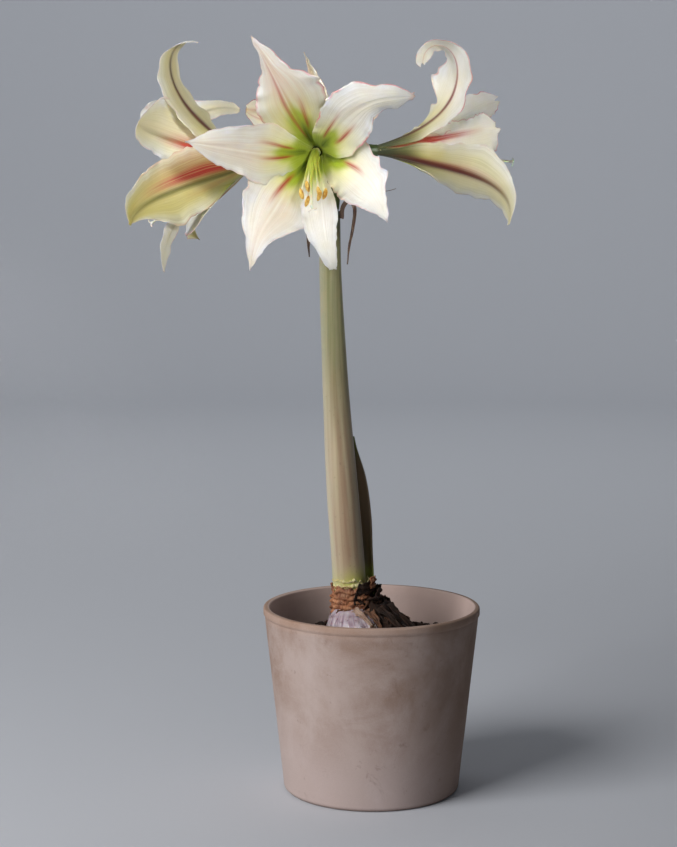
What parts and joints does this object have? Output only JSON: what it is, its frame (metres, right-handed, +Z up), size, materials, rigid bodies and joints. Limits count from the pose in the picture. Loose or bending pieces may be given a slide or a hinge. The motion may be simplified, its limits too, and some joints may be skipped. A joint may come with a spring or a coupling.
{
  "type": "potted amaryllis",
  "caption": "Flowering amaryllis with large trumpet blooms on a thick leaning stalk, its papery bulb half out of the soil of a flared clay pot.",
  "frame": {"origin": "centre of the pot's foot, on the pot's axis, on the surface that the pot stands on", "axes": "+Z up along the pot's axis; -Y the side that the front bloom faces; +X to the right as seen from there"},
  "size_m": [0.3139, 0.2642, 0.6164],
  "materials": {
    "clay": "matt unglazed clay with a faint mottled bloom",
    "earth": "dark crumbly potting compost",
    "bulb_scale": "satin, pale purple with darker veins",
    "dry_skin": "dry brown papery layers",
    "stalk": "smooth satin green with a rosy brown flush",
    "leaf_blade": "satin dark green",
    "dry_bract": "withered brown",
    "petal": "soft satin cream white, green throat, red streaks",
    "stamen": "satin yellow green, golden anthers",
    "flower_stalk": "satin dark green"
  },
  "bodies": {
    "root": {"pot": "clay", "soil": "earth", "bulb": "bulb_scale", "bulb_tunic": "dry_skin", "scape": "stalk", "leaf": "leaf_blade", "spathe_right": "dry_bract", "spathe_left": "dry_bract", "tepals_front": "petal", "stamens_front": "stamen", "pedicel_front": "flower_stalk", "tepals_right": "petal", "stamens_right": "stamen", "pedicel_right": "flower_stalk", "tepals_left": "petal", "stamens_left": "stamen", "pedicel_left": "flower_stalk", "tepals_back": "petal", "stamens_back": "stamen", "pedicel_back": "flower_stalk"}
  },
  "joints": []
}
